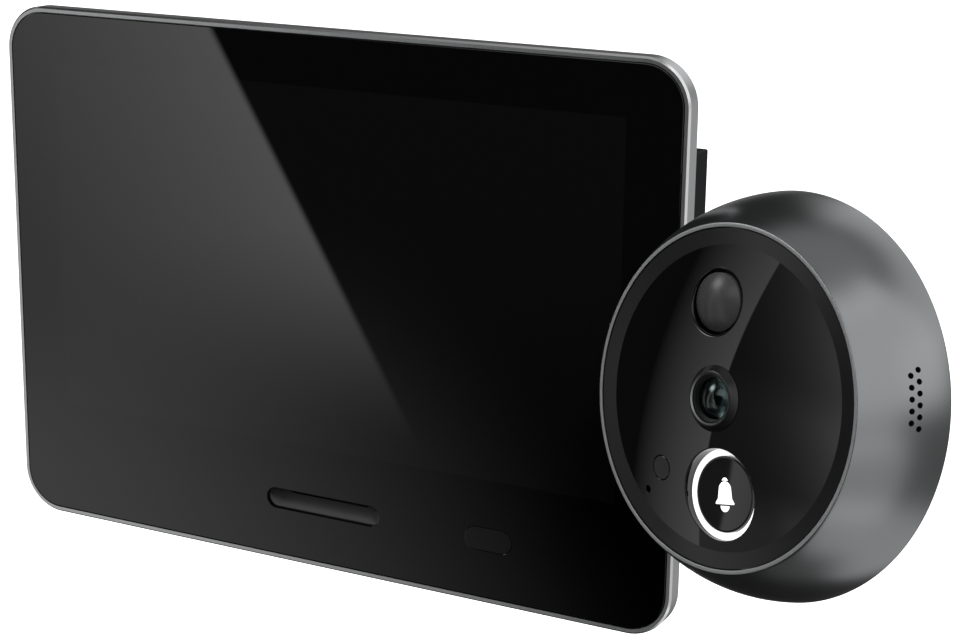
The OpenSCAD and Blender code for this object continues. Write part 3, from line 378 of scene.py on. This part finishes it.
def revolve(points, steps=96):
    """A mesh spun round the Z axis from an outline of (radius, height) points."""
    bm = bmesh.new()
    verts = [bm.verts.new((r, 0, z)) for r, z in points]
    edges = [bm.edges.new(pair) for pair in zip(verts, verts[1:])]
    if points[0][0] > 0:
        edges.append(bm.edges.new((verts[-1], verts[0])))
    bmesh.ops.spin(bm, geom=verts + edges, axis=(0, 0, 1), cent=(0, 0, 0), angle=math.tau,
                   steps=steps, use_merge=True)
    mend(bm)
    return bm


def ring_edges(bm, r, z):
    """Edges of a spun mesh that lie on one circle."""
    def on(v):
        return abs(v.co.xy.length - r) < ON_CIRCLE and abs(v.co.z - z) < ON_CIRCLE
    return [e for e in bm.edges if on(e.verts[0]) and on(e.verts[1])]


def move_up(bm, distance):
    """Moves a spun drawing up the camera's face, from its middle."""
    bmesh.ops.translate(bm, verts=bm.verts, vec=(0, distance, 0))


def add_rod(bm, r, length, place, segments):
    bmesh.ops.create_cone(bm, cap_ends=True, segments=segments, radius1=r, radius2=r,
                          depth=length, matrix=place)


def cut_away(bm, tool):
    """Cuts one drawn mesh out of another."""
    held = []
    for drawn in (bm, tool):
        mesh = bpy.data.meshes.new("drawing")
        drawn.to_mesh(mesh)
        drawn.free()
        held.append(link("drawing", mesh))
    boolean = held[0].modifiers.new("cut", "BOOLEAN")
    boolean.operation = "DIFFERENCE"
    boolean.solver = "EXACT"
    boolean.object = held[1]
    ready = held[0].evaluated_get(bpy.context.evaluated_depsgraph_get())
    shape = bpy.data.meshes.new_from_object(ready)
    result = bmesh.new()
    result.from_mesh(shape)
    for mesh in [shape] + [obj.data for obj in held]:
        bpy.data.meshes.remove(mesh)
    return result


# Indoor monitor

# Half the middle area of the glass that holds its slot and its pill
CUTOUTS_X, CUTOUTS_Y = 40.0, 36.0
# How far in from the panel's outline its rounded corners and its straight edges reach
CORNER_ZONE, EDGE_ZONE = 6.8, 3.0


def beyond(v, x, y):
    return abs(v.co.x) > x or abs(v.co.y) > y


def make_front_glass():
    """Cover glass with a fine rounding outside, round the slot and round the pill."""
    bm = copy_of("front_glass", MONITOR)
    front = [e for e in sharp_edges(bm) if all(abs(v.co.z) < ON_LEVEL for v in e.verts)]
    outer = [e for e in front if any(beyond(v, CUTOUTS_X, CUTOUTS_Y) for v in e.verts)]
    inner = [e for e in front if e not in outer]
    slot = [e for e in inner if all(v.co.x < PILL_X - PILL_ZONE for v in e.verts)]
    pill = [e for e in inner if all(v.co.x > PILL_X - PILL_ZONE for v in e.verts)]
    for edges, width, segments in ((outer, 0.12, 2), (slot, 0.14, 2), (pill, 0.03, 1)):
        round_off(bm, [e for e in edges if e.is_valid], width, segments)
    make_piece("front_glass", bm, MONITOR, [cover_glass], sharp=12)


def make_front_frame():
    """Satin frame with a flat lip round the glass and a polished chamfer outside it."""
    bm = copy_of("front_frame", MONITOR)
    half_w, half_h = PANEL_W / 2, PANEL_H / 2
    corner = (half_w - CORNER_ZONE, half_h - CORNER_ZONE)
    rim = (half_w - EDGE_ZONE, half_h - EDGE_ZONE)

    def faces_out(edge):
        out = edge.verts[0].co.xy
        sides = [f.normal.xy for f in edge.link_faces]
        return any(side.length > 0.9 and side.dot(out) > 0 for side in sides)

    def on_outline(edge):
        return (all(beyond(v, *corner) for v in edge.verts)
                and any(beyond(v, *rim) for v in edge.verts))

    def outer_at(z):
        level = [e for e in sharp_edges(bm) if all(abs(v.co.z - z) < ON_LEVEL for v in e.verts)]
        return [e for e in level if faces_out(e) and on_outline(e)]

    for face in round_off(bm, outer_at(FRAME_FRONT), 0.28, 1):
        face.material_index = 1
    round_off(bm, outer_at(FRAME_BACK), 0.18)
    make_piece("front_frame", bm, MONITOR, [frame_satin, frame_polish], sharp=25)


make_front_glass()
make_front_frame()
soften("rear_shell", MONITOR, 0.12, case_plastic)
soften("speaker_trough", MONITOR, 0.04, trough_satin)
soften("indicator_window", MONITOR, 0.03, window_smoked, 12)
soften("door_bracket", MONITOR, 0.2, steel)
soften("power_button", MONITOR, 0.25, case_plastic)
soften("charge_socket", MONITOR, 0.08, steel)


# Outdoor camera

HOLE_STEPS, NECK_STEPS, SOUND_STEPS = 144, 64, 24
SOUND_BORE = 6.0  # length of the cutters for the speaker holes
RIM_SINK = 0.01  # how far the cutter for a hole's rim lies below the dome, for a clean edge
SLIVER = 0.005  # faces thinner than this are merged away
TOP_ZONE = 0.1  # how near to a top a point or a face belongs to it
BELL_PROUD, WINDOW_SUNK = 0.012, 0.03


def make_camera_housing():
    """Bulging satin body with a fine rim, and two columns of speaker holes in its right side."""
    bulge = BODY_R - RIM_R
    bulge_r = ball_radius(WIDEST_DEPTH, bulge)
    depths = [-BODY_DEPTH * i / 36 for i in range(37)]
    side = [(cap_z(z + WIDEST_DEPTH, BODY_R, bulge_r), z) for z in depths]
    inside = [(REAR_BORE_R, -BODY_DEPTH), (REAR_BORE_R, GASKET_SEAT), (CAVITY_R, GASKET_SEAT),
              (CAVITY_R, LEDGE_BACK), (LEDGE_R, LEDGE_BACK), (LEDGE_R, FACE_BACK),
              (RIM_R - RIM_W, FACE_BACK), (RIM_R - RIM_W, 0)]
    bm = revolve(side + inside, 160)
    round_off(bm, ring_edges(bm, RIM_R, 0), 0.08)
    round_off(bm, ring_edges(bm, RIM_R - RIM_W, 0), 0.05)
    round_off(bm, ring_edges(bm, *side[-1]), 0.3, 3)
    tool = bmesh.new()
    for rows, z in SOUND_COLUMNS:
        for i in range(rows):
            middle = (CAVITY_R + 1, (i - (rows - 1) / 2) * SOUND_PITCH, z)
            place = Matrix.Translation(middle) @ turn(90, "Y")
            add_rod(tool, SOUND_R, SOUND_BORE, place, SOUND_STEPS)
    bm = cut_away(bm, tool)
    for face in bm.faces:
        near_top = face.calc_center_median().z > -TOP_ZONE
        face.material_index = int(face.normal.z > 0.9 and near_top)
    make_piece("camera_housing", bm, CAMERA, [camera_satin, rim_satin])


def hole_rounding(r, at, width):
    """A cutter for the rounded rim of a hole in the dome, square to the dome there."""
    outer = r + width
    low = -outer ** 2 / (2 * DOME_R) - RIM_SINK - width
    turns = [math.radians(90 * i / 8) for i in range(9)]
    rim = [(outer - width * math.cos(t), low + width * math.sin(t)) for t in turns]
    bm = revolve([(0, low)] + rim + [(outer, CUT_PAST), (0, CUT_PAST)], HOLE_STEPS)
    out = Vector(at)
    tilt = Matrix.Rotation(math.asin(out.length / DOME_R), 4, Vector((-out.y, out.x, 0)))
    bm.transform(Matrix.Translation((*at, dome_z(out.length))) @ tilt)
    return bm


def make_face_plate():
    """Domed gloss face in a dished satin ring, with rounded holes."""
    dome = [(DISC_R * i / 40, dome_z(DISC_R * i / 40)) for i in range(41)]
    bm = revolve(dome + [(PLATE_R, RING_EDGE), (PLATE_R, FACE_BACK), (0, FACE_BACK)], 180)
    holes = ((PIR_HOLE_R, (0, PIR_RISE), 0.3), (WELL_R, (0, -WELL_DROP), 0.14),
             (LIGHT_R, LIGHT_AT, 0.08), (MIC_R, MIC_AT, 0.08))
    low, high = FACE_BACK - CUT_PAST, DOME_TOP + CUT_PAST
    bores = bmesh.new()

    def add_bore(r, at, steps):
        add_rod(bores, r, high - low, Matrix.Translation((*at, (low + high) / 2)), steps)

    add_bore(NECK_R + NECK_GAP, (0, 0), NECK_STEPS)
    for r, at, _ in holes:
        add_bore(r, at, HOLE_STEPS)
    bm = cut_away(bm, bores)
    for r, at, width in holes:
        bm = cut_away(bm, hole_rounding(r, at, width))
    bmesh.ops.remove_doubles(bm, verts=bm.verts, dist=SLIVER)
    for face in bm.faces:
        beyond_disc = face.calc_center_median().xy.length > DISC_R
        face.material_index = int(face.normal.z > 0.5 and beyond_disc)
    make_piece("face_plate", bm, CAMERA, [face_gloss, ring_satin], sharp=14)


def make_pir_lens():
    """Motion sensor's dome, with its rim rounded."""
    top = dome_z(PIR_RISE) + PIR_STAND
    ball = ball_radius(PIR_R, PIR_DOME_H)
    radii = [PIR_R * math.sin(i * math.pi / 48) for i in range(25)]
    dome = [(r, cap_z(r, top, ball)) for r in radii]
    flange = PIR_HOLE_R + PIR_FLANGE_W
    bm = revolve(dome + [(PIR_R, FACE_BACK), (flange, FACE_BACK), (flange, FLANGE_BACK),
                         (0, FLANGE_BACK)])
    round_off(bm, ring_edges(bm, *dome[-1]), 0.2, 4)
    move_up(bm, PIR_RISE)
    make_piece("pir_lens", bm, CAMERA, [sensor_satin])


# Light inner chamfer of the lens bezel: its outer and inner radius, and its depth
CHAMFER_R, CHAMFER_INNER_R, CHAMFER_DEPTH = 3.15, 3.0, 0.15
# Steps down into the lens barrel: radius, and depth below its top
BARREL_STEPS = ((2.78, 0), (2.74, 0.14), (2.68, 0.16), (2.66, 0.3), (2.60, 0.32), (2.58, 0.46),
                (2.52, 0.48))
# The glass is drawn wider and higher than its solid, as the photograph shows it
LENS_GLASS_R, LENS_GLASS_RISE, LENS_GLASS_STAND = 2.5, 1.15, 0.35
LENS_GLASS_BACK, LENS_GLASS_SEAT = -0.88, -0.9


def make_lens():
    """Conical bezel, ringed barrel and the domed glass in it."""
    bore = LENS_R + LENS_GAP
    top = DOME_TOP + BEZEL_H
    bm = revolve([(BEZEL_R, DOME_TOP), (BEZEL_TOP_R, top), (CHAMFER_R, top),
                  (CHAMFER_INNER_R, top - CHAMFER_DEPTH), (bore, top - CHAMFER_DEPTH),
                  (bore, FACE_BACK), (NECK_R, FACE_BACK), (NECK_R, DOME_TOP)])
    round_off(bm, ring_edges(bm, BEZEL_TOP_R, top), 0.08, 3)
    for face in bm.faces:
        inward = face.normal.xy.dot(face.calc_center_median().xy) < 0
        face.material_index = int(inward and face.normal.z > 0.5)
    make_piece("lens_bezel", bm, CAMERA, [bezel_satin, lens_ring])

    top -= BARREL_DROP
    steps = [(r, top - depth) for r, depth in BARREL_STEPS]
    seat_r = steps[-1][0]
    bm = revolve([(LENS_R, top), *steps, (seat_r, LENS_GLASS_SEAT),
                  (BARREL_BORE_R, LENS_GLASS_SEAT), (BARREL_BORE_R, BARREL_BACK),
                  (LENS_R, BARREL_BACK)])
    round_off(bm, ring_edges(bm, LENS_R, top) + ring_edges(bm, *steps[0]), 0.03)
    make_piece("lens_barrel", bm, CAMERA, [lens_black])

    top += LENS_GLASS_STAND
    ball = ball_radius(LENS_GLASS_R, LENS_GLASS_RISE)
    radii = [LENS_GLASS_R * i / 24 for i in range(25)]
    dome = [(r, cap_z(r, top, ball)) for r in radii]
    bm = revolve(dome + [(LENS_GLASS_R, LENS_GLASS_BACK), (0, LENS_GLASS_BACK)])
    make_piece("lens_front_glass", bm, CAMERA, [lens_glass])


def make_button():
    """Dished cap with the bell sign, in its light ring."""
    def dish_z(r):
        return CAP_TOP - (CAP_R ** 2 - r ** 2) / (2 * CAP_DISH_R)

    dish = [(CAP_R * i / 16, dish_z(CAP_R * i / 16)) for i in range(17)]
    flange_back = FLANGE_BACK - FLANGE_T
    bm = revolve(dish + [(CAP_R, FLANGE_BACK), (RING_R, FLANGE_BACK), (RING_R, flange_back),
                         (STEM_R, flange_back), (STEM_R, STEM_BACK), (0, STEM_BACK)])
    round_off(bm, ring_edges(bm, CAP_R, CAP_TOP), 0.12, 3)
    move_up(bm, -WELL_DROP)
    make_piece("button_cap", bm, CAMERA, [cap_gloss])

    bm = copy_of("bell_symbol", CAMERA)
    for vert in bm.verts:
        if vert.co.z > CAP_TOP - TOP_ZONE:
            vert.co.z = dish_z(math.hypot(vert.co.x, vert.co.y + WELL_DROP)) + BELL_PROUD
    make_piece("bell_symbol", bm, CAMERA, [lit_white])

    flange = WELL_R + RING_FLANGE_W
    bm = revolve([(RING_R, RING_TOP), (RING_INNER_R, RING_TOP), (RING_INNER_R, FLANGE_BACK),
                  (flange, FLANGE_BACK), (flange, FACE_BACK), (RING_R, FACE_BACK)])
    top_edges = ring_edges(bm, RING_INNER_R, RING_TOP) + ring_edges(bm, RING_R, RING_TOP)
    round_off(bm, top_edges, 0.08)
    move_up(bm, -WELL_DROP)
    make_piece("button_light_ring", bm, CAMERA, [lit_white])


def make_light_window():
    """Small window that follows the dome, a hair below it."""
    bm = copy_of("light_window", CAMERA)
    top = max(v.co.z for v in bm.verts)
    for vert in bm.verts:
        if vert.co.z > top - TOP_ZONE:
            vert.co.z = dome_z(vert.co.xy.length) - WINDOW_SUNK
    round_off(bm, sharp_edges(bm), 0.05)
    make_piece("light_window", bm, CAMERA, [face_gloss], sharp=12)


make_camera_housing()
make_face_plate()
make_pir_lens()
make_lens()
make_button()
make_light_window()
soften("rear_plate", CAMERA, 0.15, case_plastic)
soften("threaded_inserts", CAMERA, 0.12, brass)
soften("cable_grommet", CAMERA, 0.25, rubber)
soften("adhesive_pad", CAMERA, 0.15, foam)


# Studio

# Softboxes all round: headings, from behind round to the right, heights and brightness
SOFTBOXES = (
    ((70, 165), (3, 67), 0.90),
    ((108, 162), (-13, 2), 0.55),
    ((100, 160), (-48, -7), 0.53),
    ((20, 156), (-76, -42), 0.63),
    ((-15, 72), (15, 53), 0.71),
    ((-8, 102), (-45, 35), 0.15),
    ((-100, 41), (-29, 6), 0.29),
    ((-190, -148), (12, 45), 1.3),
    ((-180, 180), (59, 100), 0.34),
    ((-180, 180), (-100, -78), 0.12),
)
# Bright small softbox that the lens shows
LENS_LIGHT = ((-120, -98), (24, 38), 8.0)
SOFT_EDGE = 9
ROOM_LEVEL = 0.02
# Two softboxes at the front left, each with its edge on a circle round an axis
SCREEN_EDGE = (-0.708, 0.560, -0.430)
SCREEN_GLOW, SCREEN_GLOW_FAR, SCREEN_FADE, SCREEN_REACH = 1.5, 0.12, 3.5, 0.5
SCREEN_BEYOND, SCREEN_CRISP = 0.015, 0.002
FACE_EDGE, FACE_EDGE_LEVEL = (-0.485, 0.851, 0.200), 0.049
FACE_GLOW, FACE_GLOW_FAR, FACE_REACH, FACE_CRISP = 1.0, 0.03, 0.25, 0.003
# Ramps, each from one place to another and, where it has four numbers, from one value to another.
# The screen's softbox is dimmer in its upper half. Its lower end rises past its edge and then fades.
SCREEN_UPPER = (-0.06, 0.06, 1.0, 0.6)
LOW_END_RISE, LOW_END_FADE = (-0.07, 0.18, 0.0, 0.95), (0.2, 0.36, 1.0, 0.35)
ABOVE_LOW_END = (-0.32, -0.2)
# The two softboxes show in front, on the left and near a level
FRONT_LEFT = (0.1, -0.05)
BAND_LEVEL, BAND_ENDS = -0.08, (0.5, 0.4)
# Glass shows plain white behind it. Dull surfaces have more light from above.
BEHIND = (0.0, 0.3)
AMBIENT = (-0.2, 0.6, 0.1, 1.0)


def soft_band(tree, angle, low, high):
    """Where an angle in degrees lies between two others, with soft ends."""
    middle, half = (low + high) / 2, (high - low) / 2
    turned = calc(tree, "WRAP", calc(tree, "SUBTRACT", angle, middle), 180, -180)
    return ramp(tree, calc(tree, "ABSOLUTE", turned), half + SOFT_EDGE, half - SOFT_EDGE)


def add_softbox(tree, heading, height, box, light):
    """Light with one more softbox in it."""
    headings, heights, level = box
    across, upward = soft_band(tree, heading, *headings), soft_band(tree, height, *heights)
    return calc(tree, "MULTIPLY_ADD", calc(tree, "MULTIPLY", across, upward), level, light)


def screen_softbox(tree, where, z):
    """Softbox whose straight edge crosses the cover glass, with a soft lower end."""
    edge = along(tree, where, SCREEN_EDGE)
    near = calc(tree, "POWER", ramp(tree, edge, 0.0, SCREEN_REACH, 1, 0, "LINEAR"), SCREEN_FADE)
    glow = calc(tree, "MULTIPLY_ADD", near, SCREEN_GLOW, SCREEN_GLOW_FAR)
    glow = calc(tree, "MULTIPLY", glow, ramp(tree, z, *SCREEN_UPPER))
    inside = ramp(tree, edge, -SCREEN_CRISP, SCREEN_CRISP, SCREEN_BEYOND)
    crisp = calc(tree, "MULTIPLY", glow, inside)
    rise, fade = ramp(tree, edge, *LOW_END_RISE), ramp(tree, edge, *LOW_END_FADE)
    low_end = calc(tree, "MULTIPLY", rise, fade)
    return mix(tree, low_end, crisp, ramp(tree, z, *ABOVE_LOW_END))


def add_face_softbox(tree, where, light):
    """Light with the softbox over it whose edge crosses the outdoor camera's face."""
    past = calc(tree, "SUBTRACT", along(tree, where, FACE_EDGE), FACE_EDGE_LEVEL)
    glow = ramp(tree, past, 0.0, FACE_REACH, FACE_GLOW, FACE_GLOW_FAR, "LINEAR")
    return mix(tree, light, glow, ramp(tree, past, -FACE_CRISP, FACE_CRISP))


def make_studio_world():
    """White behind the object, with the softboxes and dark corners that gloss and metal show."""
    world = bpy.data.worlds.new("studio")
    scene.world = world
    world.use_nodes = True
    tree = world.node_tree
    where = tree.nodes.new("ShaderNodeTexCoord").outputs["Generated"]
    x, y, z = (along(tree, where, axis) for axis in ((1, 0, 0), (0, 1, 0), (0, 0, 1)))
    heading = calc(tree, "DEGREES", calc(tree, "ARCTAN2", x, y))
    height = calc(tree, "DEGREES", calc(tree, "ARCSINE", z))
    broad = ROOM_LEVEL
    for box in SOFTBOXES:
        broad = add_softbox(tree, heading, height, box, broad)
    front_boxes = add_face_softbox(tree, where, screen_softbox(tree, where, z))
    front_left = calc(tree, "MULTIPLY", ramp(tree, y, *FRONT_LEFT), ramp(tree, x, *FRONT_LEFT))
    off_level = calc(tree, "ABSOLUTE", calc(tree, "SUBTRACT", z, BAND_LEVEL))
    level_band = ramp(tree, off_level, *BAND_ENDS)
    studio = mix(tree, broad, front_boxes, calc(tree, "MULTIPLY", front_left, level_band))
    studio = add_softbox(tree, heading, height, LENS_LIGHT, studio)
    # Dull surfaces take the ambient light, gloss and glass the studio, and the view is white
    path = tree.nodes.new("ShaderNodeLightPath").outputs
    through = calc(tree, "MULTIPLY", path["Is Transmission Ray"], ramp(tree, y, *BEHIND))
    plain = calc(tree, "MAXIMUM", path["Is Camera Ray"], through)
    mirrored = calc(tree, "MAXIMUM", path["Is Glossy Ray"], path["Is Transmission Ray"])
    ambient = ramp(tree, z, *AMBIENT)
    strength = mix(tree, mix(tree, ambient, studio, mirrored), 1.0, plain)
    shade = tree.nodes["Background"]
    shade.inputs["Color"].default_value = (1, 1, 1, 1)
    tree.links.new(strength, shade.inputs["Strength"])


FLOOR_Z, FLOOR_SIZE, FLOOR_GLOW = -0.3, 4.0, 0.8
LAMP_AIM = Vector((0.02, -0.02, 0))


def make_floor():
    """White floor, well below the object, that keeps its shadow."""
    bm = bmesh.new()
    bmesh.ops.create_grid(bm, x_segments=1, y_segments=1, size=FLOOR_SIZE)
    bmesh.ops.translate(bm, verts=bm.verts, vec=(0, 0, FLOOR_Z))
    mesh = bpy.data.meshes.new("floor")
    bm.to_mesh(mesh)
    bm.free()
    floor = link("floor", mesh)
    material = bpy.data.materials.new("floor_white")
    material.use_nodes = True
    tree = material.node_tree
    shader = tree.nodes["Principled BSDF"]
    shader.inputs["Base Color"].default_value = (0.9, 0.9, 0.9, 1)
    shader.inputs["Roughness"].default_value = 0.9
    shader.inputs["Emission Color"].default_value = (1, 1, 1, 1)
    path = tree.nodes.new("ShaderNodeLightPath").outputs
    plain = calc(tree, "MAXIMUM", path["Is Camera Ray"], path["Is Transmission Ray"])
    tree.links.new(calc(tree, "MULTIPLY", plain, FLOOR_GLOW), shader.inputs["Emission Strength"])
    mesh.materials.append(material)
    floor.visible_glossy = False
    floor.visible_diffuse = False


def make_lamp(name, place, width, power):
    """A soft lamp aimed at the object that gloss doesn't show."""
    data = bpy.data.lights.new(name, "AREA")
    data.shape = "RECTANGLE"
    data.size = data.size_y = width
    data.energy = power
    lamp = link(name, data)
    lamp.location = place
    lamp.rotation_euler = (LAMP_AIM - Vector(place)).to_track_quat("-Z", "Y").to_euler()
    lamp.visible_camera = False
    lamp.visible_glossy = False


make_studio_world()
make_floor()
make_lamp("key_light", (0.5, -0.6, 0.85), 0.3, 8)
make_lamp("fill_light", (-0.8, -0.6, 0.5), 0.6, 2)
